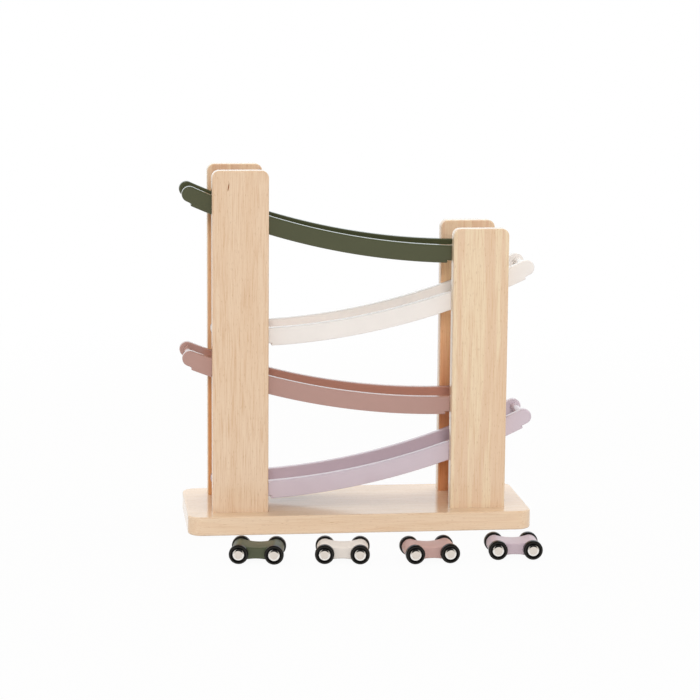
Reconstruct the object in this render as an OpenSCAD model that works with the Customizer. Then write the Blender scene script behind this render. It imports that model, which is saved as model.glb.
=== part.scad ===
// Zigzag car ramp for toddlers, with four small cars on the floor in front of it.
// Millimetres, +Z up. The origin is the centre of the base board's underside, and -Y is the front.
// Two tall posts stand at the left and two shorter ones at the right. The four curved ramps
// fall by turns to the right and to the left, and a car drops from each one to the next.

/* [Base board] */
// Length of the base board
base_l = 310; // [290:1:330]
// Depth of the base board, front to back
base_d = 120; // [110:1:135]
// Thickness of the base board
base_h = 17; // [14:0.5:20]
// Radius of the base board's four corners, seen from above
base_corner_r = 13; // [8:0.5:18]
// Rounding of the base board's edges
base_edge_r = 1.6; // [0.8:0.1:3]

/* [Posts] */
// Width of each post
post_w = 50; // [44:1:56]
// Thickness of each post
post_t = 13; // [12:0.5:15]
// Height of the two left posts above the base board
tall_post_h = 306.4; // [290:0.2:330]
// Height of the two right posts above the base board, as a share of the left posts'
short_post_share = 0.829; // [0.8:0.001:0.88]
// Distance from the base board's end to a post's outer edge
post_inset = 22.5; // [18:0.5:28]
// Radius of a post's two top corners
post_corner_r = 6.5; // [4:0.5:10]
// Rounding of a post's long edges
post_edge_r = 1.2; // [0.6:0.1:2.5]

/* [Ramps] */
// Clear width between a ramp's two rails
channel_w = 43; // [41:0.5:48]
// Thickness of a rail
rail_t = 8; // [7:0.5:10]
// Height of a rail above the ramp's floor
rail_h = 13.8; // [12:0.2:16]
// Rounding of a rail's edges
rail_edge_r = 1.2; // [0.6:0.1:2]
// Thickness of a ramp's floor
floor_t = 2.1; // [1.8:0.1:3]
// Rise of the ramps' curve over the base board's whole length, as a share of the left posts' height
ramp_rise_share = 0.2816; // [0.24:0.0002:0.3]
// How far a rail's upper end reaches past the posts
rail_overhang = 26; // [20:1:32]
// How far a rail's lower end stops inside the posts' outer edge
rail_low_inset = 2.2; // [1:0.2:6]
// How far the floor stops short of the rails' upper end
floor_setback = 9; // [7:0.5:12]
// Gap between the floor's lower end and the posts' inner edge
floor_low_gap = 3.5; // [1:0.5:8]
// Diameter of the stop dowel across a ramp's upper end
stop_d = 7; // [5:0.5:8]

/* [Cars] */
// Diameter of a wheel
wheel_d = 16.5; // [15:0.1:18]
// Width of a wheel
wheel_w = 5.6; // [4.8:0.1:6]
// Distance between the two axles
wheelbase = 30.2; // [27:0.1:34]
// Width of a car's wooden body
car_body_w = 24; // [20:0.5:25]
// Gap between the body and a wheel
wheel_gap = 0.7; // [0.5:0.1:1.5]
// Diameter of the body's round ends
car_end_d = 14; // [12:0.2:14.4]
// Height of the body at its waist
car_waist_h = 9.6; // [8:0.2:11]
// Rounding of the body's edges
car_edge_r = 1.2; // [0.5:0.1:2]
// Diameter of an axle
axle_d = 2.5; // [2:0.1:3]
// Diameter of a hub cap
hub_cap_d = 10.6; // [9:0.1:11]
// Distance from the base board's front edge to the row of cars
car_row_gap = 90; // [70:1:110]

/* [Hidden] */
// The ramps from the top down, and the cars from the left to the right
colours = ["green", "cream", "terracotta", "lilac"];
paints = ["#575B44", "#EDE8E3", "#B59287", "#C9B8BE"];
beech = "#E6CBA8";
// Height of each ramp's lowest point, as a share of the tall posts' height
ramp_height_share = [0.731, 0.49, 0.282, 0.033];
// How far from the rails' lower end each ramp is lowest, as a share of the base board's length
ramp_low_share = [0.082, 0.0376, 0.1502, 0.0137];
// Places of the cars: along the base board's length, and of the row's distance in front of it
car_x_share = [-0.324, -0.091, 0.149, 0.388];
car_y_share = [0.943, 1.01, 1.068, 0.994];
// Turn of each car, in degrees, where 0 stands along the base board
car_turn = [-9, -7, 2, -3];

// Clearances: round a glued dowel or a screw, at a dowel's ends, round a turning axle
glue_gap = 0.05;
end_gap = 0.3;
axle_gap = 0.05;
// How far cutting shapes run past the faces that they cut
overrun = 1;
// Small step by which a round end stays inside the shape that it joins
join_step = 0.05;
// Glued dowels between the posts and the rails, and how deep they sit in each
dowel_d = 5;
dowel_post_depth = 7.5;
dowel_rail_depth = 5;
dowel_chamfer = 0.6;
// How deep a stop dowel sits in a rail
stop_depth = 4;
// Countersunk screws from under the base board into the posts
screw_d = 4;
screw_head_d = 8;
screw_head_h = 2.2;
screw_sink = 0.4;
screw_l = 38;
screw_tip_l = 4;
screw_slot_w = 1.1;
screw_slot_l = 4.4;
screw_slot_depth = 1.4;
// Distance of a post's two screws from its middle
screw_reach = 14;
// Rounding of the ramp floor's two lower edges
floor_edge_r = 0.7;
// Wheel: rounding of the tread's edges, dish for the hub cap, boss that keeps it off the body
wheel_edge_r = 1;
dish_gap = 1;
dish_depth = 1.7;
boss_d = 6;
side_gap = 0.3;
// Hub cap: straight rim and dome, and how deep the axle sits in it
cap_rim = 0.6;
cap_dome = 2;
cap_socket = 1.2;

// Posts
post_out_x = base_l / 2 - post_inset;
post_x = post_out_x - post_w / 2;
post_in_x = post_out_x - post_w;
rail_out_y = channel_w / 2 + rail_t;
short_post_h = short_post_share * tall_post_h;
// Ramps, as they lie when the upper end is at the left; the others are mirrored.
// Angles run from straight below the curve's centre towards the upper end.
ramp_rise = ramp_rise_share * tall_post_h;
ramp_r = (base_l * base_l + ramp_rise * ramp_rise) / (2 * ramp_rise);
mid_r = ramp_r + rail_h / 2;
floor_r = ramp_r + rail_h;
low_x = post_out_x - rail_low_inset - rail_h / 2;
high_x = -(post_out_x + rail_overhang - rail_h / 2);
floor_high_x = -(post_out_x + rail_overhang - floor_setback);
floor_low_x = post_in_x - floor_low_gap;
// Cars
wheel_r = wheel_d / 2;
axle_x = wheelbase / 2;
wheel_in_y = car_body_w / 2 + wheel_gap;
wheel_out_y = wheel_in_y + wheel_w;
dish_r = hub_cap_d / 2 + dish_gap;
end_r = car_end_d / 2;
// The waist's hollow is an arc that touches both round ends: its radius and where it touches them
meet_r = end_r - join_step;
waist_r = (axle_x * axle_x + car_waist_h * car_waist_h / 4 - meet_r * meet_r) / (2 * meet_r - car_waist_h);
waist_z = car_waist_h / 2 + waist_r;
touch_x = axle_x * waist_r / (waist_r + meet_r);
touch_z = waist_z * meet_r / (waist_r + meet_r);

NODES = concat(
    ["base_board", "base_screws", "rail_dowels"],
    [for (x = [-1, 1], y = [-1, 1]) post_name(x, y)],
    [for (c = colours, p = ["floor", "front_rail", "back_rail", "stop_dowel"]) str(c, "_", p)],
    [for (c = colours) str(c, "_car_body")],
    [for (c = colours, e = [-1, 1], p = ["axle", "left_wheel", "right_wheel", "hub_caps"])
        str(c, "_", end_name(e), "_", p)]
);
node = "all";
$fn = 96;
// Facets of a whole turn on the ramps' wide curves
arc_fn = 1440;

function end_name(e) = e > 0 ? "front" : "rear";
function post_name(x, y) = str(y < 0 ? "front" : "back", x < 0 ? "_left" : "_right", "_post");
function shown(name) = node == "all" || node == name;

function post_h(x) = x < 0 ? tall_post_h : short_post_h;
// 1 where a ramp's upper end is at the left, -1 where it is at the right
function ramp_side(i) = i % 2 == 0 ? 1 : -1;
function ramp_xc(i) = low_x - ramp_low_share[i] * base_l;
function ramp_zc(i) = base_h + ramp_height_share[i] * tall_post_h + floor_r;
// Angle and height at a place x along a ramp, on the curve of radius r
function ramp_angle(i, x, r) = asin((ramp_xc(i) - x) / r);
function ramp_z(i, x, r) = ramp_zc(i) - r * cos(ramp_angle(i, x, r));

// Flat sections

// A strip from x = 0 to its reach, with its two outer corners rounded
module edge_section(reach, thick, edge_r) {
    square([reach - edge_r, thick]);
    translate([0, edge_r]) square([reach, thick - 2 * edge_r]);
    for (y = [edge_r, thick - edge_r]) translate([reach - edge_r, y]) circle(r = edge_r);
}

// A rectangle about the middle, with all four corners rounded
module bar_section(width, thick, edge_r) {
    square([width - 2 * edge_r, thick], center = true);
    square([width, thick - 2 * edge_r], center = true);
    for (x = [-1, 1], y = [-1, 1])
        translate([x * (width / 2 - edge_r), y * (thick / 2 - edge_r)]) circle(r = edge_r);
}

// Base and posts

module base_board() {
    flat_l = base_l - 2 * base_corner_r;
    flat_d = base_d - 2 * base_corner_r;
    color(beech) difference() {
        union() {
            rotate([90, 0, 90]) linear_extrude(flat_l, center = true) translate([0, base_h / 2])
                bar_section(base_d, base_h, base_edge_r);
            for (x = [0, 180]) rotate([0, 0, x]) translate([flat_l / 2, 0, 0]) {
                rotate([90, 0, 0]) linear_extrude(flat_d, center = true)
                    edge_section(base_corner_r, base_h, base_edge_r);
                for (y = [-1, 1]) translate([0, y * flat_d / 2, 0]) rotate([0, 0, y > 0 ? 0 : -90])
                    rotate_extrude(angle = 90) edge_section(base_corner_r, base_h, base_edge_r);
            }
        }
        at_screws() screw_hole();
    }
}

// Repeats its children at each screw's axis, at the height of the base board's underside
module at_screws() {
    for (x = [-1, 1], y = [-1, 1], s = [-1, 1])
        translate([x * post_x + s * screw_reach, y * (rail_out_y + post_t / 2), 0]) children();
}

module screw_hole() {
    hole_r = screw_d / 2 + glue_gap;
    head_r = screw_head_d / 2 + glue_gap;
    translate([0, 0, -overrun]) cylinder(r = head_r, h = overrun + screw_sink);
    translate([0, 0, screw_sink]) cylinder(r1 = head_r, r2 = hole_r, h = screw_head_h + glue_gap);
    translate([0, 0, -overrun]) cylinder(r = hole_r, h = screw_sink + screw_l + end_gap + overrun);
}

module base_screws() {
    slot = [screw_slot_l, screw_slot_w, screw_slot_depth + overrun];
    color("silver") at_screws() translate([0, 0, screw_sink]) difference() {
        union() {
            cylinder(r1 = screw_head_d / 2, r2 = screw_d / 2, h = screw_head_h);
            cylinder(r = screw_d / 2, h = screw_l - screw_tip_l);
            translate([0, 0, screw_l - screw_tip_l])
                cylinder(r1 = screw_d / 2, r2 = screw_d / 8, h = screw_tip_l);
        }
        for (a = [0, 90]) rotate([0, 0, a]) translate([0, 0, slot.z / 2 - overrun])
            cube(slot, center = true);
    }
}

// A post with x = -1 at the left or 1 at the right, and y = -1 at the front or 1 at the back
module post(x, y) {
    height = post_h(x) - post_corner_r;
    corner_x = post_w / 2 - post_corner_r;
    color(beech) difference() {
        translate([x * post_x, y * (rail_out_y + post_t / 2) - post_t / 2, base_h]) {
            translate([0, post_t / 2, 0]) linear_extrude(height)
                bar_section(post_w, post_t, post_edge_r);
            translate([0, 0, height]) rotate([0, -90, 0]) linear_extrude(2 * corner_x, center = true)
                edge_section(post_corner_r, post_t, post_edge_r);
            for (s = [-1, 1]) translate([s * corner_x, 0, height])
                rotate([-90, 0, 0]) rotate([0, 0, s > 0 ? -90 : 180])
                rotate_extrude(angle = 90) edge_section(post_corner_r, post_t, post_edge_r);
        }
        at_screws() screw_hole();
        at_dowels() translate([0, 0, -dowel_rail_depth])
            cylinder(r = dowel_d / 2 + glue_gap, h = dowel_rail_depth + dowel_post_depth);
    }
}

// Repeats its children where each rail meets a post, with +Z pointing out of the ramp
module at_dowels() {
    for (i = [0:3], x = [-1, 1], y = [-1, 1])
        translate([x * post_x, y * rail_out_y, ramp_z(i, ramp_side(i) * x * post_x, mid_r)])
            rotate([-90 * y, 0, 0]) children();
}

module rail_dowels() {
    r = dowel_d / 2;
    tip = r - dowel_chamfer;
    low = -dowel_rail_depth + end_gap;
    high = dowel_post_depth - end_gap;
    color(beech) at_dowels() rotate_extrude() polygon([
        [0, low], [tip, low], [r, low + dowel_chamfer],
        [r, high - dowel_chamfer], [tip, high], [0, high]
    ]);
}

// Ramps

// Stands its children on a ramp: mirrored where its upper end is at the right
module on_ramp(i) {
    mirror([ramp_side(i) < 0 ? 1 : 0, 0, 0]) children();
}

// Carries a section along a ramp's curve from x = high to x = low on radius r. The section's
// x is the distance from the curve's centre, and its y runs to the front from the plane y = back.
module along_ramp(i, high, low, r, back) {
    high_a = ramp_angle(i, high, r);
    translate([ramp_xc(i), back, ramp_zc(i)]) rotate([90, 0, 0]) rotate([0, 0, -90 - high_a])
        rotate_extrude(angle = high_a - ramp_angle(i, low, r), $fn = arc_fn) children();
}

// The rounded disc that makes a rail's end
module rail_end(i, x, back) {
    translate([x, back - join_step, ramp_z(i, x, mid_r)]) rotate([90, 0, 0])
        rotate_extrude() edge_section(rail_h / 2 - join_step, rail_t - 2 * join_step, rail_edge_r);
}

// A rail with y = -1 at the front or 1 at the back
module rail(i, y) {
    back = y < 0 ? -channel_w / 2 : rail_out_y;
    color(paints[i]) difference() {
        on_ramp(i) {
            along_ramp(i, high_x, low_x, mid_r, back) translate([floor_r, 0]) mirror([1, 0])
                edge_section(rail_h, rail_t, rail_edge_r);
            for (x = [high_x, low_x]) rail_end(i, x, back);
        }
        at_dowels() translate([0, 0, -dowel_rail_depth])
            cylinder(r = dowel_d / 2 + glue_gap, h = dowel_rail_depth + dowel_post_depth);
        on_ramp(i) at_stop(i)
            cylinder(r = stop_d / 2 + glue_gap, h = channel_w + 2 * stop_depth, center = true);
    }
}

// Puts its children on the axis of a ramp's stop dowel, with Z across the ramp
module at_stop(i) {
    translate([high_x, 0, ramp_z(i, high_x, mid_r)]) rotate([90, 0, 0]) children();
}

module stop_dowel(i) {
    color(paints[i]) on_ramp(i) at_stop(i)
        cylinder(r = stop_d / 2, h = channel_w + 2 * (stop_depth - end_gap), center = true);
}

module ramp_floor(i) {
    width = 2 * rail_out_y;
    color(paints[i]) on_ramp(i)
        along_ramp(i, floor_high_x, floor_low_x, floor_r, rail_out_y) translate([floor_r, 0])
        edge_section(floor_t, width, floor_edge_r);
}

// Cars

// Stands its children at a car's place, with +X along the car and Z up from the floor
module at_car(i) {
    translate([car_x_share[i] * base_l, -base_d / 2 - car_y_share[i] * car_row_gap, 0])
        rotate([0, 0, car_turn[i]]) children();
}

// Puts its children on an axle, with Z pointing to the car's right side
module on_axle(i, e) {
    at_car(i) translate([e * axle_x, 0, wheel_r]) rotate([90, 0, 0]) children();
}

module car_body(i) {
    color(paints[i]) at_car(i) translate([0, 0, wheel_r]) rotate([90, 0, 0]) difference() {
        union() {
            for (e = [-1, 1]) translate([e * axle_x, 0, -car_body_w / 2])
                rotate_extrude() edge_section(end_r, car_body_w, car_edge_r);
            difference() {
                linear_extrude(car_body_w, center = true) polygon([
                    [-axle_x, 0], [-touch_x, touch_z], [touch_x, touch_z],
                    [axle_x, 0], [touch_x, -touch_z], [-touch_x, -touch_z]
                ]);
                for (s = [-1, 1]) translate([0, s * waist_z, 0]) waist_cutter();
            }
        }
        for (e = [-1, 1]) translate([e * axle_x, 0, 0])
            cylinder(r = axle_d / 2 + axle_gap, h = car_body_w + 2 * overrun, center = true);
    }
}

// The round hollow above or below the waist, flared at both sides so that it leaves round edges
module waist_cutter() {
    half_w = car_body_w / 2;
    rotate_extrude($fn = arc_fn / 2) {
        translate([0, -half_w - overrun]) square([waist_r, car_body_w + 2 * overrun]);
        for (s = [0, 1]) mirror([0, s]) difference() {
            translate([0, half_w - car_edge_r]) square([waist_r + car_edge_r, car_edge_r + overrun]);
            translate([waist_r + car_edge_r, half_w - car_edge_r]) circle(r = car_edge_r);
        }
    }
}

module axle(i, e) {
    color("silver") on_axle(i, e)
        cylinder(r = axle_d / 2, h = 2 * (wheel_out_y - dish_depth + cap_socket), center = true);
}

// A wheel with s = 1 on the car's right side or -1 on its left
module wheel(i, e, s) {
    bore_r = axle_d / 2;
    color("#23211D") on_axle(i, e) mirror([0, 0, s > 0 ? 0 : 1]) rotate_extrude() {
        translate([0, wheel_in_y]) difference() {
            edge_section(wheel_r, wheel_w, wheel_edge_r);
            translate([0, wheel_w - dish_depth]) square([dish_r, dish_depth + overrun]);
            square([bore_r, wheel_w]);
        }
        translate([bore_r, car_body_w / 2 + side_gap])
            square([boss_d / 2 - bore_r, wheel_in_y - car_body_w / 2 - side_gap]);
    }
}

module hub_caps(i, e) {
    cap_r = hub_cap_d / 2;
    dome_r = (cap_r * cap_r + cap_dome * cap_dome) / (2 * cap_dome);
    color("gainsboro") on_axle(i, e) for (s = [0, 1]) mirror([0, 0, s])
        translate([0, 0, wheel_out_y - dish_depth]) difference() {
            rotate_extrude() {
                square([cap_r, cap_rim]);
                intersection() {
                    translate([0, cap_rim]) square([cap_r, cap_dome]);
                    translate([0, cap_rim + cap_dome - dome_r]) circle(r = dome_r);
                }
            }
            translate([0, 0, -overrun]) cylinder(r = axle_d / 2, h = cap_socket + overrun);
        }
}

if (shown("base_board")) base_board();
if (shown("base_screws")) base_screws();
if (shown("rail_dowels")) rail_dowels();
for (x = [-1, 1], y = [-1, 1]) if (shown(post_name(x, y))) post(x, y);
for (i = [0:3]) {
    if (shown(str(colours[i], "_floor"))) ramp_floor(i);
    if (shown(str(colours[i], "_front_rail"))) rail(i, -1);
    if (shown(str(colours[i], "_back_rail"))) rail(i, 1);
    if (shown(str(colours[i], "_stop_dowel"))) stop_dowel(i);
    if (shown(str(colours[i], "_car_body"))) car_body(i);
    for (e = [-1, 1]) {
        if (shown(str(colours[i], "_", end_name(e), "_axle"))) axle(i, e);
        if (shown(str(colours[i], "_", end_name(e), "_left_wheel"))) wheel(i, e, -1);
        if (shown(str(colours[i], "_", end_name(e), "_right_wheel"))) wheel(i, e, 1);
        if (shown(str(colours[i], "_", end_name(e), "_hub_caps"))) hub_caps(i, e);
    }
}
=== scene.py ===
# Wooden car ramp with four curved tracks and four little cars: camera, finishes, meshes and light.
import bmesh
import bpy
import numpy as np
from mathutils import Matrix, Vector


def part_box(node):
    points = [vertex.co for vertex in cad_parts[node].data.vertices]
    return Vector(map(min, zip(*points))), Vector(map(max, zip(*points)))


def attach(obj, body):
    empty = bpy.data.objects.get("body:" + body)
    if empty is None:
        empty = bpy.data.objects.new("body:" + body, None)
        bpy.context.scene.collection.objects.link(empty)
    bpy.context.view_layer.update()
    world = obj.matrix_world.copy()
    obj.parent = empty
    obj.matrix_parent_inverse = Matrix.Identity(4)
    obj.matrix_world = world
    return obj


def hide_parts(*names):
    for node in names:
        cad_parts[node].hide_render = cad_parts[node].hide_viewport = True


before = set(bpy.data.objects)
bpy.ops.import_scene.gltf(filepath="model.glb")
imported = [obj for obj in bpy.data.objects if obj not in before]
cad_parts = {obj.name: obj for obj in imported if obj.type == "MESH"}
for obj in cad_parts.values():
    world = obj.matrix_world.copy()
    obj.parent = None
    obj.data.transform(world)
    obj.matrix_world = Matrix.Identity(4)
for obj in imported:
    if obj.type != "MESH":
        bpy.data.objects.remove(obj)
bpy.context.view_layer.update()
mm = 0.001
colours = ["green", "cream", "terracotta", "lilac"]


# Camera, fitted to edges in the photograph: place, lens and sensor in mm, turns in degrees, reach in metres
camera = {
    "place": (-258.7, -2083.3, 503.7), "right": 6.95, "down": 9.40, "roll": -0.46, "lens": 120.3,
    "sensor": 36, "nearest": 0.05, "furthest": 60,
}


def aimCamera(options):
    # forward comes from the two turns, then the picture's own axes roll about it
    right, down, roll = np.radians([options["right"], options["down"], options["roll"]])
    forward = np.array([np.sin(right) * np.cos(down), np.cos(right) * np.cos(down), -np.sin(down)])
    level = np.array([np.cos(right), -np.sin(right), 0])
    across = np.cos(roll) * level + np.sin(roll) * np.cross(forward, level)
    up = np.cross(across, forward)
    turn = Matrix([list(row) for row in np.column_stack([across, up, -forward])])
    data = bpy.data.cameras.new("camera")
    data.lens = options["lens"]
    data.sensor_width = options["sensor"]
    data.clip_start, data.clip_end = options["nearest"], options["furthest"]
    seen = bpy.data.objects.new("camera", data)
    seen.matrix_world = Matrix.Translation(Vector(options["place"]) * mm) @ turn.to_4x4()
    bpy.context.scene.collection.objects.link(seen)
    bpy.context.scene.camera = seen


aimCamera(camera)
bpy.context.scene.view_settings.view_transform = "Standard"
print("camera aimed")


# Small helpers for colours and shader nodes

def linear(code):
    # sRGB hex to the linear values that shaders take
    parts = np.array([int(code[k:k + 2], 16) for k in (1, 3, 5)]) / 255
    flat = np.where(parts <= 0.04045, parts / 12.92, ((parts + 0.055) / 1.055) ** 2.4)
    return (*flat.tolist(), 1.0)


def add(tree, kind, inputs=None, **settings):
    # one shader node: its settings, then its sockets, which take a value or another node's output
    made = tree.nodes.new(kind)
    for name, value in settings.items():
        setattr(made, name, value)
    for name, value in (inputs or {}).items():
        if isinstance(value, bpy.types.NodeSocket):
            tree.links.new(value, made.inputs[name])
        else:
            made.inputs[name].default_value = value
    return made


def newMaterial(name):
    # an empty material with its surface shader, and the object's own coordinates in metres
    material = bpy.data.materials.new(name)
    material.use_nodes = True
    tree = material.node_tree
    tree.nodes.clear()
    shader = add(tree, "ShaderNodeBsdfPrincipled")
    output = add(tree, "ShaderNodeOutputMaterial", {"Surface": shader.outputs[0]})
    output.is_active_output = True
    return material, tree, shader, add(tree, "ShaderNodeTexCoord").outputs["Object"]


def ramp(tree, factor, stops):
    # a colour ramp with stops of (place, colour)
    made = add(tree, "ShaderNodeValToRGB", {0: factor})
    band = made.color_ramp
    while len(band.elements) < len(stops):
        band.elements.new(0.5)
    for element, (place, colour) in zip(band.elements, stops):
        element.position, element.color = place, colour
    return made.outputs[0]


# Nearly all values of a noise texture lie in this span
noiseSpan = (0.3, 0.7)


def noise(tree, place, scale=1.0, **inputs):
    # a noise texture, with its other sockets by their own names
    return add(tree, "ShaderNodeTexNoise", {"Vector": place, "Scale": scale, **inputs})


def rescale(tree, value, start, end, toStart=0.0, toEnd=1.0, easing="LINEAR"):
    # takes a value from the span start to end over to the span toStart to toEnd, and holds it there
    sockets = {"Value": value, "From Min": start, "From Max": end, "To Min": toStart, "To Max": toEnd}
    return add(tree, "ShaderNodeMapRange", sockets, interpolation_type=easing).outputs[0]


def grey(share):
    # the same share of each colour
    return share, share, share, 1


def blendColours(tree, factor, first, second, mode="MIX"):
    # a mix of two colours by a factor, or their product as far as the factor says
    made = add(tree, "ShaderNodeMix", {0: factor, 6: first, 7: second}, data_type="RGBA", blend_type=mode)
    return made.outputs[2]


def setAll(shader, **values):
    # sets sockets by name, with _ for a space
    for name, value in values.items():
        shader.inputs[name.replace("_", " ")].default_value = value


# Finishes

# Sizes in mm. Spans are heights in metres, and the shading colours, painted light and shade for the channel
# faces, multiply the wood's.
beech = {
    "light": "#E6CCB0", "rosy": "#E2C5A7", "line": "#CFA681", "fleck": "#AE8058",
    "bandWidth": 8, "bandLength": 260, "bandStops": (0.38, 0.64), "wanderWidth": 30, "wanderLength": 90,
    "lineWidth": 0.75, "lineLength": 30, "lineStops": (0.46, 0.72), "lineShare": 0.8,
    "fleckWidth": 0.5, "fleckLength": 5, "fleckStops": (0.64, 0.76), "fleckShare": 0.6,
    "refraction": 1.5, "sheen": (0.09, 0.15), "bump": 0.05, "bumpDepth": 0.05,
    "shadingFoot": (0.94, 0.62, 0.37, 1), "shadingTop": (0.99, 0.76, 0.6, 1), "shadingSpan": (0.09, 0.18),
    "shadingCrown": (0.97, 0.87, 0.84, 1), "shadingCrownSpan": (0.29, 0.31),
}


def beechWood(name, grain, options):
    # Beech, planed and sanded, under a clear satin lacquer: pale bands, fine darker growth lines that
    # wander a little, and the short flecks of its rays. Each is noise drawn out along the grain, turned
    # into a tone between two stops. The lines are a little coarser than real. A face turned to the
    # channel, which the mesh marks with a 1, gets painted light and shade: it is multiplied by a warm tone
    # for the light thrown between the ramps and their shade, darkest at the foot, then the top's over
    # shadingSpan, then the crown's.
    material, tree, shader, place = newMaterial(name)
    turn = {"x": (0, np.pi / 2, 0), "y": (np.pi / 2, 0, 0), "z": (0, 0, 0)}[grain]
    along = add(tree, "ShaderNodeMapping", {"Vector": place, "Rotation": turn}).outputs[0]

    def stretched(kind):
        width, length = options[kind + "Width"] * mm, options[kind + "Length"] * mm
        scale = (1 / width, 1 / width, 1 / length)
        return add(tree, "ShaderNodeMapping", {"Vector": along, "Scale": scale}).outputs[0]

    wander = noise(tree, stretched("wander"), Detail=2.0).outputs["Color"]
    band = noise(tree, stretched("band"), Detail=3.0, Roughness=0.6, Distortion=0.3).outputs[0]
    bent = add(tree, "ShaderNodeVectorMath", {0: stretched("line"), 1: wander}, operation="ADD").outputs[0]
    line = noise(tree, bent, Detail=4.0, Roughness=0.62).outputs[0]
    fleck = noise(tree, stretched("fleck"), Detail=1.0).outputs[0]

    bandStart, bandEnd = options["bandStops"]
    bands = ramp(tree, band, [(bandStart, linear(options["light"])), (bandEnd, linear(options["rosy"]))])
    lineStart, lineEnd = options["lineStops"]
    lines = ramp(tree, line, [(lineStart, grey(0)), (lineEnd, grey(options["lineShare"]))])
    grained = blendColours(tree, lines, bands, linear(options["line"]))
    fleckStart, fleckEnd = options["fleckStops"]
    spots = ramp(tree, fleck, [(fleckStart, grey(0)), (fleckEnd, grey(options["fleckShare"]))])
    wood = blendColours(tree, spots, grained, linear(options["fleck"]))

    # painted light and shade on the channel faces: a warm tone by height, darkest at the foot
    height = add(tree, "ShaderNodeSeparateXYZ", {0: place}).outputs[2]
    top = rescale(tree, height, *options["shadingSpan"])
    paintedShading = blendColours(tree, top, options["shadingFoot"], options["shadingTop"])
    crown = rescale(tree, height, *options["shadingCrownSpan"])
    paintedShading = blendColours(tree, crown, paintedShading, options["shadingCrown"])
    shadingMask = add(tree, "ShaderNodeAttribute", attribute_name="paintedShadingSide").outputs["Fac"]
    tree.links.new(blendColours(tree, shadingMask, wood, paintedShading, "MULTIPLY"), shader.inputs["Base Color"])

    relief = add(tree, "ShaderNodeMath", {0: line, 1: fleck}, operation="ADD").outputs[0]
    bump = add(tree, "ShaderNodeBump",
               {"Height": relief, "Strength": options["bump"], "Distance": options["bumpDepth"] * mm})
    tree.links.new(bump.outputs[0], shader.inputs["Normal"])
    tree.links.new(rescale(tree, line, *noiseSpan, *options["sheen"]), shader.inputs["Roughness"])
    setAll(shader, IOR=options["refraction"])
    return material, tree, shader


# A short dark mark in the face of the tall front post: middle and half sizes in mm, lean in mm for a mm up
mark = {"middle": (-118.2, 309.2), "halfWidth": 0.7, "halfHeight": 4.4, "lean": 0.16, "colour": "#8F5E3C"}


def darkMark(material, tree, shader, options):
    # A slender ellipse in the face's plane. With up = z - middle and side = x - middle - lean * up, its
    # distance is the length of (side / halfWidth, up / halfHeight): full within 0.5, and gone at 1.
    place = tree.nodes.new("ShaderNodeTexCoord").outputs["Object"]
    x, z = options["middle"]
    wide, tall = options["halfWidth"] * mm, options["halfHeight"] * mm
    split = add(tree, "ShaderNodeSeparateXYZ", {0: place})
    up = add(tree, "ShaderNodeMath", {0: split.outputs[2], 1: z * mm}, operation="SUBTRACT").outputs[0]
    side = add(tree, "ShaderNodeMath", {0: up, 1: -options["lean"], 2: split.outputs[0]},
               operation="MULTIPLY_ADD").outputs[0]
    side = add(tree, "ShaderNodeMath", {0: side, 1: x * mm}, operation="SUBTRACT").outputs[0]
    local = add(tree, "ShaderNodeCombineXYZ", {0: side, 2: up}).outputs[0]
    scaled = add(tree, "ShaderNodeVectorMath", {0: local, 1: (1 / wide, 0, 1 / tall)}, operation="MULTIPLY")
    away = add(tree, "ShaderNodeVectorMath", {0: scaled.outputs[0]}, operation="LENGTH").outputs["Value"]
    share = rescale(tree, away, 1.0, 0.5)
    wood = shader.inputs["Base Color"].links[0].from_socket
    tree.links.new(blendColours(tree, share, wood, linear(options["colour"])), shader.inputs["Base Color"])
    return material


def satinPaint(name, code, sheen, options, paintedChannelShading=(1, 1, 1)):
    # Water-based satin enamel on sanded wood: an even colour, a soft sheen, and a very faint wave and
    # grain that show only in the reflections. A face turned to the channel, which the mesh marks with a
    # 1, is multiplied by the painted channel shading: painted light and shade that stand in for the light
    # thrown between the ramps and their shade.
    material, tree, shader, place = newMaterial(name)
    mottle = noise(tree, place, 1 / (options["mottle"] * mm), Detail=3.0).outputs[0]
    base = linear(code)[:3]
    shades = [tuple(min(c * shade, 1) for c in base) + (1,) for shade in options["mottleShades"]]
    coat = ramp(tree, mottle, list(zip(options["mottleStops"], shades)))
    # painted light and shade on the faces turned to the channel
    shadingMask = add(tree, "ShaderNodeAttribute", attribute_name="paintedShadingSide").outputs["Fac"]
    tree.links.new(blendColours(tree, shadingMask, coat, (*paintedChannelShading, 1), "MULTIPLY"), shader.inputs["Base Color"])
    skin = noise(tree, place, 1 / (options["peel"] * mm), Detail=1.0).outputs[0]
    bump = add(tree, "ShaderNodeBump",
               {"Height": skin, "Strength": options["bump"], "Distance": options["bumpDepth"] * mm})
    tree.links.new(bump.outputs[0], shader.inputs["Normal"])
    tree.links.new(rescale(tree, mottle, *noiseSpan, *sheen), shader.inputs["Roughness"])
    setAll(shader, IOR=options["refraction"])
    return material


# Highlight shares are shares of the wheel's radius: where the painted grey highlight starts, where it is
# full and where it ends
plastic = {
    "black": "#0A0908", "paintedRingHighlight": "#33302B", "highlightShares": (0.80, 0.86, 0.92), "grit": 0.5, "bump": 0.12,
    "bumpDepth": 0.03, "refraction": 1.3, "roughness": 0.3,
}


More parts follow.
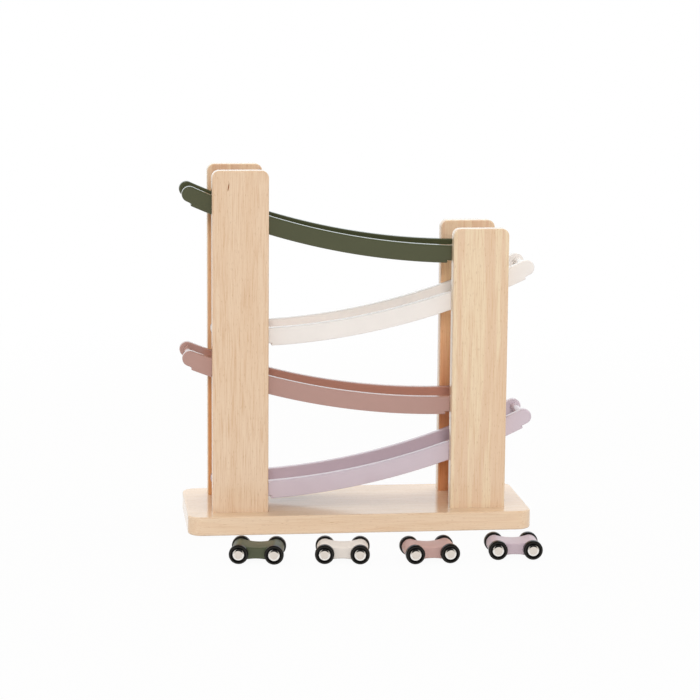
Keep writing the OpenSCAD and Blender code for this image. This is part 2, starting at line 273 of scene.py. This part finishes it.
def mouldedPlastic(name, options):
    # Black moulded plastic with a dull skin, and a greyer ring half way up the side wall: a painted
    # highlight for the light that the rounded wall catches. The mesh says how far out a point is, as a share
    # of the wheel's radius.
    material, tree, shader, place = newMaterial(name)
    grit = noise(tree, place, 1 / (options["grit"] * mm), Detail=2.0).outputs[0]
    out = add(tree, "ShaderNodeAttribute", attribute_name="tyreRadius").outputs["Fac"]
    start, middle, end = options["highlightShares"]
    # painted highlight: a grey ring on the black side wall
    paintedRingHighlight = ramp(tree, out, [(start, grey(0)), (middle, grey(1)), (end, grey(0))])
    tree.links.new(blendColours(tree, paintedRingHighlight, linear(options["black"]), linear(options["paintedRingHighlight"])),
                   shader.inputs["Base Color"])
    bump = add(tree, "ShaderNodeBump",
               {"Height": grit, "Strength": options["bump"], "Distance": options["bumpDepth"] * mm})
    tree.links.new(bump.outputs[0], shader.inputs["Normal"])
    setAll(shader, IOR=options["refraction"], Roughness=options["roughness"])
    return material


# Middle share: shares of the cap's radius where its satin middle, with its painted reflection, ends and
# where its bright shoulder starts
pressed = {
    # the middle's beige is a painted reflection of the room in the chrome
    "middle": "#D9D1C8", "shoulder": "#F2EFEA", "middleShare": (0.62, 0.66), "middleRoughness": 0.42,
    "shoulderRoughness": 0.07,
}


def pressedCap(name, options):
    # Chromed cap: its flat middle is a satin non-metal whose beige colour is a painted reflection of the
    # room in front, and the shoulder round it is mirror bright. The mesh says how far out a point is, as a
    # share of the cap's radius.
    material, tree, shader, _ = newMaterial(name)
    out = add(tree, "ShaderNodeAttribute", attribute_name="capRadius").outputs["Fac"]
    bright = rescale(tree, out, *options["middleShare"])
    colour = blendColours(tree, bright, linear(options["middle"]), linear(options["shoulder"]))
    rough = rescale(tree, bright, 0.0, 1.0, options["middleRoughness"], options["shoulderRoughness"])
    tree.links.new(colour, shader.inputs["Base Color"])
    tree.links.new(rough, shader.inputs["Roughness"])
    tree.links.new(bright, shader.inputs["Metallic"])
    return material


# Steel: colour, roughness, how much the polishing marks add to it, and their size in mm
steel = {
    "axle": {"colour": "#A9A8A6", "roughness": 0.25, "brushed": 0.1, "marks": 0.4},
    "screw": {"colour": "#B9BABC", "roughness": 0.3, "brushed": 0.1, "marks": 0.4},
}


def polishedMetal(name, options):
    # Drawn steel rod, or zinc plating: plain metal whose roughness goes up and down a little with noise,
    # as faint polishing marks
    material, tree, shader, place = newMaterial(name)
    marks = noise(tree, place, 1 / (options["marks"] * mm), Detail=2.0).outputs[0]
    rough = rescale(tree, marks, 0.0, 1.0, options["roughness"], options["roughness"] + options["brushed"])
    tree.links.new(rough, shader.inputs["Roughness"])
    setAll(shader, Base_Color=linear(options["colour"]), Metallic=1.0)
    return material


# Paint colours, each channel's painted light and shade, the sizes of mottle and skin in mm, and roughness as
# a pair
paint = {
    "green": "#4D5039", "cream": "#EDE7E2", "terracotta": "#B49087", "lilac": "#CDBFC8",
    "paintedChannelShading": {"green": (0.9, 0.9, 0.88), "cream": (1.12, 1.11, 1.1), "terracotta": (1.08, 0.9, 0.77),
                "lilac": (0.96, 0.92, 0.91)},
    "mottle": 18, "mottleStops": (0.35, 0.65), "mottleShades": (0.985, 1.01), "peel": 0.9, "bump": 0.08,
    "bumpDepth": 0.04, "sheen": (0.09, 0.11), "carSheen": (0.42, 0.46), "refraction": 1.5,
}
carPaint = {"green": "#50553E", "cream": "#E6DDD4", "terracotta": "#C29E96", "lilac": "#C6B3BB"}
# What differs from the marked post: in the other posts, in the two right ones, whose painted channel light
# and shade differ, and in the base board
yellower = {
    "light": "#EAD4B5", "rosy": "#E3C6A8", "line": "#D6B08A", "bandWidth": 11, "bandStops": (0.46, 0.53),
}
# painted light and shade of the right posts' channel faces: darker and redder at the foot, lighter above
rightPostShading = {
    "shadingFoot": (0.9, 0.51, 0.33, 1), "shadingTop": (1.2, 1.03, 0.87, 1),
    "shadingCrown": (0.99, 0.92, 0.9, 1), "shadingCrownSpan": (0.225, 0.245),
}
lying = {"light": "#E9CFB2", "rosy": "#E6CAAB", "line": "#DAB794", "bump": 0.02}

uprightBeech = beechWood("beechUpright", "z", {**beech, **yellower})[0]
rightBeech = beechWood("beechRightPosts", "z", {**beech, **yellower, **rightPostShading})[0]
markedBeech = darkMark(*beechWood("beechMarkedPost", "z", beech), mark)
lyingBeech = beechWood("beechLying", "x", {**beech, **lying})[0]
dowelBeech = beechWood("beechDowel", "y", beech)[0]
paints = {c: satinPaint(c + "Paint", paint[c], paint["sheen"], paint, paint["paintedChannelShading"][c]) for c in colours}
carPaints = {c: satinPaint(c + "CarPaint", carPaint[c], paint["carSheen"], paint) for c in colours}
wheelBlack = mouldedPlastic("blackWheelPlastic", plastic)
capChrome = pressedCap("capChrome", pressed)
axleSteel = polishedMetal("axleSteel", steel["axle"])
screwZinc = polishedMetal("screwZinc", steel["screw"])
print("finishes made")


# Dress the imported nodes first, so that each one has a finish even where a mesh replaces it
def finishFor(node):
    for c in colours:
        if node.startswith(c):
            part = node[len(c) + 1:]
            if part.endswith("wheel"):
                return wheelBlack
            return {"front_axle": axleSteel, "rear_axle": axleSteel, "front_hub_caps": capChrome,
                    "rear_hub_caps": capChrome, "car_body": carPaints[c]}.get(part, paints[c])
    return {"base_board": lyingBeech, "base_screws": screwZinc, "rail_dowels": dowelBeech,
            "front_left_post": markedBeech, "front_right_post": rightBeech,
            "back_right_post": rightBeech}.get(node, uprightBeech)


for nodeName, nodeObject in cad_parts.items():
    nodeObject.data.materials.clear()
    nodeObject.data.materials.append(finishFor(nodeName))
print("packed nodes dressed")


# Meshes: each one is a grid of points worked out with whole arrays, in mm, then handed over in metres

def ringFaces(rows, count, closed=False):
    # quads between neighbouring rows, where each row of points is a ring
    k = np.arange(count)
    j = np.arange(rows if closed else rows - 1)[:, None]
    after, below = (k + 1) % count, (j + 1) % rows
    grid = np.stack([j * count + k, j * count + after, below * count + after, below * count + k], axis=-1)
    return grid.reshape(-1, 4)


def makePiece(name, points, faces, material, body, nodes, flatFaces=0):
    # the last few faces, as many as flatFaces says, stay flat, and all the others are shaded smooth
    mesh = bpy.data.meshes.new(name)
    mesh.from_pydata((points.reshape(-1, 3) * mm).tolist(), [], faces)
    shell = bmesh.new()
    shell.from_mesh(mesh)
    bmesh.ops.recalc_face_normals(shell, faces=shell.faces)
    shell.to_mesh(mesh)
    shell.free()
    mesh.polygons.foreach_set("use_smooth", np.arange(len(faces)) < len(faces) - flatFaces)
    mesh.materials.append(material)
    piece = bpy.data.objects.new(name, mesh)
    bpy.context.scene.collection.objects.link(piece)
    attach(piece, body)
    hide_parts(*nodes)
    return piece


def plate(outline, inward, edge, half, steps=5, margin=0.4):
    # A board with rounded edges. Its outline is repeated along a profile that goes over the edge: the
    # part of a quarter circle at angle a moves a point inwards by edge * (1 - sin a), at the height
    # half - edge * (1 - cos a). The other face mirrors it, and strips across the board close both faces.
    a = np.linspace(0, np.pi / 2, steps)[:, None]
    inset = np.vstack([edge + margin, edge * (1 - np.sin(a))])
    height = np.vstack([np.full_like(edge, half), half - edge * (1 - np.cos(a))])
    inset = np.vstack([inset, inset[::-1]])
    height = np.vstack([height, -height[::-1]])
    flat = outline + inward * inset[..., None]
    rows, count = height.shape
    k = np.arange(count // 2 - 1)
    face = np.stack([k, k + 1, count - 2 - k, count - 1 - k], axis=-1)
    caps = np.vstack([face, face + (rows - 1) * count])
    faces = np.vstack([ringFaces(rows, count), caps]).tolist()
    return np.dstack([flat, height]), faces, len(caps)


def filleted(corners, radii, steps):
    # A polygon with rounded corners: each corner becomes the arc of its radius that touches both of its
    # sides, from a blend of the two touching directions by the sines of their angles. Gives the points
    # and the way inwards at each of them.
    corners, radii = np.array(corners, float), np.array(radii, float)[:, None]
    back = np.roll(corners, 1, axis=0) - corners
    on = np.roll(corners, -1, axis=0) - corners
    back /= np.linalg.norm(back, axis=1, keepdims=True)
    on /= np.linalg.norm(on, axis=1, keepdims=True)
    half = np.arccos((back * on).sum(axis=1, keepdims=True)) / 2
    middle = back + on
    middle /= np.linalg.norm(middle, axis=1, keepdims=True)
    centre = corners + middle * radii / np.sin(half)
    first = (corners + back * radii / np.tan(half) - centre) / radii
    last = (corners + on * radii / np.tan(half) - centre) / radii
    sweep = (np.pi - 2 * half)[:, None]
    u = np.linspace(0, 1, steps)[None, :, None]
    out = (np.sin((1 - u) * sweep) * first[:, None] + np.sin(u * sweep) * last[:, None]) / np.sin(sweep)
    points = centre[:, None] + radii[:, None] * out
    return points.reshape(-1, 2), -out.reshape(-1, 2)


def lathed(profile, count):
    # A turned part: every profile point (radius, height) goes once round the z axis, at angle 2 pi k / n.
    # The profile is a closed loop, or starts and ends on the axis, where the rings close in one point.
    turn = 2 * np.pi * np.arange(count) / count
    capped = profile[0, 0] == 0
    rings = profile[1:-1] if capped else profile
    radius, height = rings[:, :1], rings[:, 1:]
    level = np.broadcast_to(height, (len(rings), count))
    points = np.dstack([radius * np.cos(turn), radius * np.sin(turn), level]).reshape(-1, 3)
    faces = ringFaces(len(rings), count, closed=not capped).tolist()
    if capped:
        k, after = np.arange(count), (np.arange(count) + 1) % count
        last, poles = (len(rings) - 1) * count, len(rings) * count
        points = np.vstack([points, [0, 0, profile[0, 1]], [0, 0, profile[-1, 1]]])
        faces += np.stack([k, after, np.full(count, poles)], axis=-1).tolist()
        faces += np.stack([last + k, last + after, np.full(count, poles + 1)], axis=-1).tolist()
    return points, faces


def boxOf(node):
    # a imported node's box in mm
    low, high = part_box(node)
    return np.array(low) / mm, np.array(high) / mm


# The painted light and shade in the channel is gone at this |x|, after fading over this length, both in mm
paintedShadingReach = {"end": 138, "fade": 5}


def markPaintedShading(piece, points, edge, options):
    # Marks where painted light and shade go: 1 on the points of the face nearest the track's middle line,
    # within a quarter of the edge's radius, and 0 on all the others. Outside the posts it falls to 0, as
    # (end - |x|) / fade between 0 and 1.
    along, across = np.abs(points[..., 0].ravel()), np.abs(points[..., 1].ravel())
    fading = np.clip((options["end"] - along) / options["fade"], 0, 1)
    shadingMask = (across < across.min() + edge / 4) * fading
    piece.data.attributes.new("paintedShadingSide", "FLOAT", "POINT").data.foreach_set("value", shadingMask)


# Posts: boards with two rounded corners at the top; their feet run a little into the base board
post = {"corner": 6.5, "edge": 1.2, "footDepth": 2.2, "arcSteps": 14}


def buildPost(node, material, options):
    low, high = boxOf(node)
    foot, top = options["footDepth"], options["corner"]
    corners = [(high[0], low[2] - foot), (high[0], high[2]), (low[0], high[2]), (low[0], low[2] - foot)]
    outline, inward = filleted(corners, [foot, top, top, foot], options["arcSteps"])
    edge = np.full(len(outline), options["edge"])
    points, faces, flat = plate(outline, inward, edge, (high[1] - low[1]) / 2)
    points = points[..., [0, 2, 1]] + [0, (low[1] + high[1]) / 2, 0]
    piece = makePiece(node.replace("_post", "_upright"), points, faces, material, "stand", [node],
                      flat)
    markPaintedShading(piece, points, options["edge"], paintedShadingReach)


for side in ("left", "right"):
    for row in ("front", "back"):
        node = row + "_" + side + "_post"
        buildPost(node, finishFor(node), post)
print("posts built")


# Ramps: two rails and a floor bent round one level axis
ramps = {
    "topRadius": 600.034, "railHeight": 13.8, "railEdge": 1.2, "floorThickness": 2.1, "floorEdge": 0.7,
    "floorEnd": 0.85, "jointEdge": 0.05, "straightUp": 0.9, "floorMargin": 0.1, "pitch": 2.5, "arcSteps": 12,
}


def band(centre, radius, first, last, half, corner, options):
    # The side view of a bent bar: the circle's middle line runs from angle first to angle last, both
    # measured from straight down, and the bar reaches half to either side of it. The ends are round
    # where corner equals half. Gives the points, the way inwards, and 1 along the top or -1 below.
    count = int(abs(last - first) * radius / options["pitch"])
    inner = corner / radius * np.sign(last - first)
    angle = np.linspace(first + inner, last - inner, count)
    steps = options["arcSteps"]
    bend = (np.arange(steps) + 0.5) / steps * np.pi / 2

    def place(turn):
        return np.stack([np.sin(turn), -np.cos(turn)], axis=-1)

    def halfOutline(side):
        # side is 1 above the middle line and -1 below it
        start, end = angle[0], angle[-1]
        onward = np.sign(last - first)
        tangent = [onward * np.array([np.cos(t), np.sin(t)]) for t in (start, end)]
        up = [-place(t) for t in (start, end)]
        turnIn = -np.cos(bend)[:, None] * tangent[0] + side * np.sin(bend)[:, None] * up[0]
        back = bend[::-1]
        turnOut = np.cos(back)[:, None] * tangent[1] + side * np.sin(back)[:, None] * up[1]
        out = np.vstack([turnIn, -side * place(angle), turnOut])
        base = np.vstack([
            np.tile(centre + radius * place(start) + side * (half - corner) * up[0], (steps, 1)),
            centre + radius * place(angle) - side * (half - corner) * place(angle),
            np.tile(centre + radius * place(end) + side * (half - corner) * up[1], (steps, 1)),
        ])
        return base + corner * out, -out, np.full(len(out), side)

    low, high = halfOutline(-1), halfOutline(1)
    return [np.concatenate([below, above[::-1]]) for below, above in zip(low, high)]


def buildRamp(colour, options):
    # The lowest point of a rail is on its lower circle, and the stop dowel's axis is on the rails' middle
    # line. The dowel is at the upper end, so side is -1 where that end is at the left and 1 at the right.
    height, thick = options["railHeight"], options["floorThickness"]
    middle, under = options["topRadius"] + height / 2, options["topRadius"] + height
    low, high = boxOf(colour + "_front_rail")
    dowel = sum(boxOf(colour + "_stop_dowel")) / 2
    centreZ = low[2] + under
    side = -1 if dowel[0] < 0 else 1
    centreX = dowel[0] - side * np.sqrt(middle ** 2 - (centreZ - dowel[2]) ** 2)
    centre = np.array([centreX, centreZ])

    def angleAt(x, radius):
        return np.arcsin((x - centreX) / radius)

    # the round ends touch the ends of the rail's box, and the middle line runs on to their tips
    ends = (low[0], high[0]) if side < 0 else (high[0], low[0])
    reach = [angleAt(ends[0] - side * height / 2, middle), angleAt(ends[1] + side * height / 2, middle)]
    tip = height / 2 / middle
    reach = [reach[0] + side * tip, reach[1] - side * tip]
    floorLow, floorHigh = boxOf(colour + "_floor")
    floorEnds = (floorLow[0], floorHigh[0]) if side < 0 else (floorHigh[0], floorLow[0])

    # a rail's underside is sharp where it lies on the floor, so that no groove shows between them
    outline, inward, above = band(centre, middle, *reach, height / 2, height / 2, options)
    edge = np.full(len(outline), options["railEdge"])
    overFloor = (outline[:, 0] > floorLow[0]) & (outline[:, 0] < floorHigh[0])
    edge[(above < 0) & overFloor & (inward[:, 1] > options["straightUp"])] = options["jointEdge"]
    for row in ("front", "back"):
        low, high = boxOf(colour + "_" + row + "_rail")
        points, faces, flat = plate(outline, inward, edge, (high[1] - low[1]) / 2)
        points = points[..., [0, 2, 1]] + [0, (low[1] + high[1]) / 2, 0]
        piece = makePiece(colour + "_" + row + "_rail_bar", points, faces, paints[colour],
                          "stand", [colour + "_" + row + "_rail"], flat)
        markPaintedShading(piece, points, options["railEdge"], paintedShadingReach)

    radius = under + thick / 2
    reach = [angleAt(floorEnds[0], radius), angleAt(floorEnds[1], radius)]
    outline, inward, above = band(centre, radius, *reach, thick / 2, options["floorEnd"], options)
    edge = np.where(above > 0, options["jointEdge"], options["floorEdge"])
    half = (floorHigh[1] - floorLow[1]) / 2
    points, faces, flat = plate(outline, inward, edge, half, margin=options["floorMargin"])
    makePiece(colour + "_track_floor", points[..., [0, 2, 1]], faces, paints[colour],
              "stand", [colour + "_floor"], flat)


for c in colours:
    buildRamp(c, ramps)
print("ramps built")


# Cars: a waisted block, four wheels and four pressed metal caps
car = {
    "endRadius": 7, "waist": 9.6, "edge": 1.2, "endSteps": 30, "waistSteps": 24,
    "bore": 1.25, "bossRadius": 3, "bossStep": 0.4, "dishDepth": 1.7, "dishRadius": 6.3, "dishSlope": 0.2,
    "bead": 0.16, "beadRadius": 7.0, "beadWidth": 0.22,
    "fillets": (0.1, 0.15, 0.1, 1.0, 1.0, 0.25, 0.2, 0.1), "filletSteps": 8, "wallSteps": 26,
    "wheelSteps": 96, "capRim": 0.6, "capGap": 0.12, "capFoot": ((0, 0.3), (0.1, 0.06), (0.2, 0)),
    "flatShare": 0.6, "flatSteps": 8, "shoulderSteps": 32, "capSteps": 64,
}


def waistedBlock(reach, options):
    # Side view of the body: round ends about x = -reach and x = reach, joined above and below by the
    # hollow arc that touches both. Its radius follows from the waist's height at x = 0.
    r, waist, steps = options["endRadius"], options["waist"], options["endSteps"]
    hollow = (reach ** 2 + waist ** 2 / 4 - r ** 2) / (2 * r - waist)
    centre = waist / 2 + hollow
    touch = np.arctan2(centre, reach)
    turn = np.pi - (np.arange(steps) + 0.5) / steps * (np.pi - touch)
    sag = np.linspace(-(np.pi / 2 - touch), np.pi / 2 - touch, options["waistSteps"])[1:-1]
    end = np.stack([np.cos(turn), np.sin(turn)], axis=-1)
    dip = np.stack([np.sin(sag), -np.cos(sag)], axis=-1)
    across, down = [-1, 1], [1, -1]
    upper = np.vstack([[-reach, 0] + r * end, [0, centre] + hollow * dip,
                       ([reach, 0] + r * end * across)[::-1]])
    inward = np.vstack([-end, dip, (-end * across)[::-1]])
    return np.vstack([upper * down, upper[::-1]]), np.vstack([inward * down, inward[::-1]])


def wheelProfile(radius, width, options):
    # Section of a wheel, height 0 at the middle of its tread: dished outside, with a low bead round the
    # side wall, and a small boss inside. The bead is a bell curve of the distance from its own circle.
    half, dish, bore = width / 2, options["dishRadius"], options["bore"]
    floorHeight, face = half - options["dishDepth"], half - options["bead"]
    boss, bossEnd = options["bossRadius"], -half - options["bossStep"]
    corners = [(bore, bossEnd), (boss, bossEnd), (boss, -half), (radius, -half), (radius, face),
               (dish, face), (dish - options["dishSlope"], floorHeight), (bore, floorHeight)]
    steps = options["filletSteps"]
    section = filleted(corners, options["fillets"], steps)[0]
    # the side wall lies between the arcs of the fifth corner and the sixth
    wallStart = 5 * steps
    tread, lip = section[wallStart - 1], section[wallStart]
    across = np.linspace(0, 1, options["wallSteps"])[1:-1, None]
    wall = tread + (lip - tread) * across
    away = (wall[:, 0] - options["beadRadius"]) / options["beadWidth"]
    wall[:, 1] += options["bead"] * np.exp(-away ** 2)
    return np.vstack([section[:wallStart], wall, section[wallStart:]])


def capProfile(radius, height, options):
    # Section of a cap: flat in the middle, then a shoulder that falls like a quarter of an ellipse, the
    # root of 1 - t^2 for the share t of the way across it, and a straight rim with a rounded foot
    flat = options["flatShare"]
    shoulder = np.sin(np.linspace(0, np.pi / 2, options["shoulderSteps"]))
    share = np.concatenate([np.linspace(0, flat, options["flatSteps"])[:-1], flat + (1 - flat) * shoulder])
    t = np.clip((share - flat) / (1 - flat), 0, 1)
    dome = (height - options["capRim"]) * np.sqrt(1 - t ** 2) + options["capRim"]
    foot = [[radius - inset, rise] for inset, rise in options["capFoot"]]
    return np.vstack([np.column_stack([share * radius, dome]), foot, [[0, 0]]])


def buildCar(colour, options):
    front = sum(boxOf(colour + "_front_axle")) / 2
    rear = sum(boxOf(colour + "_rear_axle")) / 2
    middle = (front + rear) / 2
    reach = np.linalg.norm(front - rear) / 2
    along = (front - rear) / (2 * reach)
    across = np.array([-along[1], along[0], 0])
    upright = np.array([0.0, 0.0, 1.0])

    def widthOf(node):
        # extent across the car of a node's own points
        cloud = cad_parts[node].data.vertices
        flat = np.empty(len(cloud) * 3)
        cloud.foreach_get("co", flat)
        return np.sort((flat.reshape(-1, 3) / mm - middle) @ across)[[0, -1]]

    def facing(way):
        # the axes of a part on the left side of the car, where way is 1, or on the right, where it's -1
        return np.array([along * way, upright, across * way])

    def markRadius(piece, attribute, shares):
        piece.data.attributes.new(attribute, "FLOAT", "POINT").data.foreach_set("value", shares)

    outline, inward = waistedBlock(reach, options)
    side = widthOf(colour + "_car_body")
    edge = np.full(len(outline), options["edge"])
    points, faces, flat = plate(outline, inward, edge, (side[1] - side[0]) / 2)
    makePiece(colour + "_block", points @ facing(1) + middle, faces, carPaints[colour],
              colour + "_car", [colour + "_car_body"], flat)

    for end, centre in (("front", front), ("rear", rear)):
        prefix = colour + "_" + end
        wheelLow, wheelHigh = boxOf(prefix + "_left_wheel")
        radius = (wheelHigh[2] - wheelLow[2]) / 2
        inner, outer = widthOf(prefix + "_left_wheel")
        inner += options["bossStep"]
        wheel, faces = lathed(wheelProfile(radius, outer - inner, options), options["wheelSteps"])
        for name, way in (("left", 1), ("right", -1)):
            points = wheel @ facing(way) + centre + across * way * (inner + outer) / 2
            piece = makePiece(prefix + "_" + name + "_tyre", points, faces, wheelBlack,
                              colour + "_" + end + "_wheels", [prefix + "_" + name + "_wheel"])
            markRadius(piece, "tyreRadius", np.linalg.norm(wheel[:, :2], axis=1) / radius)

        capLow, capHigh = boxOf(prefix + "_hub_caps")
        capRadius = (capHigh[2] - capLow[2]) / 2
        seat = outer - options["dishDepth"]
        height = widthOf(prefix + "_hub_caps")[1] - seat - options["capGap"]
        cap, capFaces = lathed(capProfile(capRadius, height, options), options["capSteps"])
        both = [cap @ facing(way) + centre + across * way * seat for way in (1, -1)]
        faces = capFaces + [[v + len(cap) for v in face] for face in capFaces]
        piece = makePiece(prefix + "_caps", np.vstack(both), faces, capChrome,
                          colour + "_" + end + "_wheels", [prefix + "_hub_caps"])
        markRadius(piece, "capRadius", np.tile(np.linalg.norm(cap[:, :2], axis=1) / capRadius, 2))


for c in colours:
    buildCar(c, car)
print("cars built")


# Floor, background and light. Lengths in metres, angles in degrees; a pair of edges is where a tone starts
# and ends to change, and the key lamp's place is seen from the toy towards the front.
studio = {
    "floorReach": 8.0, "floorWhite": 0.68, "floorGlow": 0.95, "nearRadius": 0.45, "farRadius": 1.3,
    "keyStrength": 1.38, "keyRight": -4, "keyUp": 19, "keyAngle": 16, "keyTint": (1.0, 1.0, 1.02),
    "skyLow": 0.22, "skyHigh": 1.42, "skyTint": (1.0, 0.985, 0.95, 1), "skyStart": -0.6,
    "skyTowards": (0.05, 0.72, 0.69), "skyEdges": (-0.3, 0.3), "floorEdges": (-0.7, 0.0),
    "mirrorFront": (0.6, 0.56, 0.51, 1), "mirrorBack": (1.24, 1.32, 1.37, 1),
    "mirrorCeiling": (0.02, 0.02, 0.02, 1), "ceilingTowards": (0, -0.64, 0.77), "ceilingEdges": (0.66, 0.72),
}


def paleFloor(options):
    # A wide white floor. The camera sees it glowing, with a little of its soft shadows near the toy,
    # and plain white further out. Other light meets a dull pale surface, and in reflections it goes from
    # the dim front of the room to white behind the toy.
    reach = options["floorReach"]
    corners = [(-reach, -reach, 0), (reach, -reach, 0), (reach, reach, 0), (-reach, reach, 0)]
    mesh = bpy.data.meshes.new("floor")
    mesh.from_pydata(corners, [], [(0, 1, 2, 3)])
    floor = bpy.data.objects.new("floor", mesh)
    bpy.context.scene.collection.objects.link(floor)
    material = bpy.data.materials.new("paleFloor")
    material.use_nodes = True
    tree = material.node_tree
    tree.nodes.clear()
    place = add(tree, "ShaderNodeTexCoord").outputs["Object"]
    away = add(tree, "ShaderNodeVectorMath", {0: place}, operation="LENGTH").outputs["Value"]
    fade = rescale(tree, away, options["nearRadius"], options["farRadius"], easing="SMOOTHSTEP")
    lit = add(tree, "ShaderNodeBsdfDiffuse", {"Color": grey(options["floorWhite"])}).outputs[0]
    shining = add(tree, "ShaderNodeEmission", {"Color": grey(1), "Strength": 1.0}).outputs[0]
    near = add(tree, "ShaderNodeMixShader", {0: options["floorGlow"], 1: lit, 2: shining}).outputs[0]
    seen = add(tree, "ShaderNodeMixShader", {0: fade, 1: near, 2: shining}).outputs[0]
    depth = add(tree, "ShaderNodeSeparateXYZ", {0: place}).outputs[1]
    back = rescale(tree, depth, *options["floorEdges"], easing="SMOOTHSTEP")
    mirrored = blendColours(tree, back, options["mirrorFront"], grey(1))
    shine = add(tree, "ShaderNodeEmission", {"Color": mirrored, "Strength": 1.0}).outputs[0]
    path = add(tree, "ShaderNodeLightPath").outputs
    surface = add(tree, "ShaderNodeMixShader", {0: path["Is Glossy Ray"], 1: lit, 2: shine}).outputs[0]
    surface = add(tree, "ShaderNodeMixShader", {0: path["Is Camera Ray"], 1: surface, 2: seen}).outputs[0]
    add(tree, "ShaderNodeOutputMaterial", {"Surface": surface})
    mesh.materials.append(material)


def softSun(options):
    # a far, wide lamp that stands in front of the toy
    data = bpy.data.lights.new("key", "SUN")
    data.energy, data.angle = options["keyStrength"], np.radians(options["keyAngle"])
    data.color = options["keyTint"]
    lamp = bpy.data.objects.new("key", data)
    right, up = np.radians([options["keyRight"], options["keyUp"]])
    towards = Vector((np.sin(right) * np.cos(up), -np.cos(right) * np.cos(up), np.sin(up)))
    lamp.rotation_euler = towards.to_track_quat("Z", "Y").to_euler()
    lamp.visible_glossy = False  # its mirror image would glare off the lacquer when seen from behind
    bpy.context.scene.collection.objects.link(lamp)


def whiteWorld(options):
    # Plain white for the camera. On the toy it is a soft light from behind and above: its strength rises
    # with the cosine of the angle to skyTowards. In reflections it is a room: dim in front, bright behind,
    # and with a dark patch where that cosine for ceilingTowards passes its edges.
    world = bpy.data.worlds.new("studio")
    bpy.context.scene.world = world
    world.use_nodes = True
    tree = world.node_tree
    tree.nodes.clear()
    direction = add(tree, "ShaderNodeTexCoord").outputs["Generated"]

    def cosineTo(towards):
        made = add(tree, "ShaderNodeVectorMath", {0: direction, 1: towards}, operation="DOT_PRODUCT")
        return made.outputs["Value"]

    soft = rescale(tree, cosineTo(options["skyTowards"]), options["skyStart"], 1.0, options["skyLow"],
                   options["skyHigh"])
    path = add(tree, "ShaderNodeLightPath").outputs
    seen = add(tree, "ShaderNodeMath", {0: path["Is Camera Ray"], 1: path["Is Transmission Ray"]},
               operation="MAXIMUM").outputs[0]
    strength = add(tree, "ShaderNodeMix", {0: seen, 2: soft, 3: 1.0}, data_type="FLOAT").outputs[0]
    tint = blendColours(tree, seen, options["skyTint"], grey(1))
    depth = add(tree, "ShaderNodeSeparateXYZ", {0: direction}).outputs[1]
    back = rescale(tree, depth, *options["skyEdges"], easing="SMOOTHSTEP")
    mirrored = blendColours(tree, back, options["mirrorFront"], options["mirrorBack"])
    dark = rescale(tree, cosineTo(options["ceilingTowards"]), *options["ceilingEdges"])
    mirrored = blendColours(tree, dark, mirrored, options["mirrorCeiling"])
    plain = add(tree, "ShaderNodeBackground", {"Color": tint, "Strength": strength}).outputs[0]
    shine = add(tree, "ShaderNodeBackground", {"Color": mirrored, "Strength": 1.0}).outputs[0]
    glow = add(tree, "ShaderNodeMixShader", {0: path["Is Glossy Ray"], 1: plain, 2: shine}).outputs[0]
    add(tree, "ShaderNodeOutputWorld", {"Surface": glow})


paleFloor(studio)
whiteWorld(studio)
softSun(studio)
print("floor and light set")
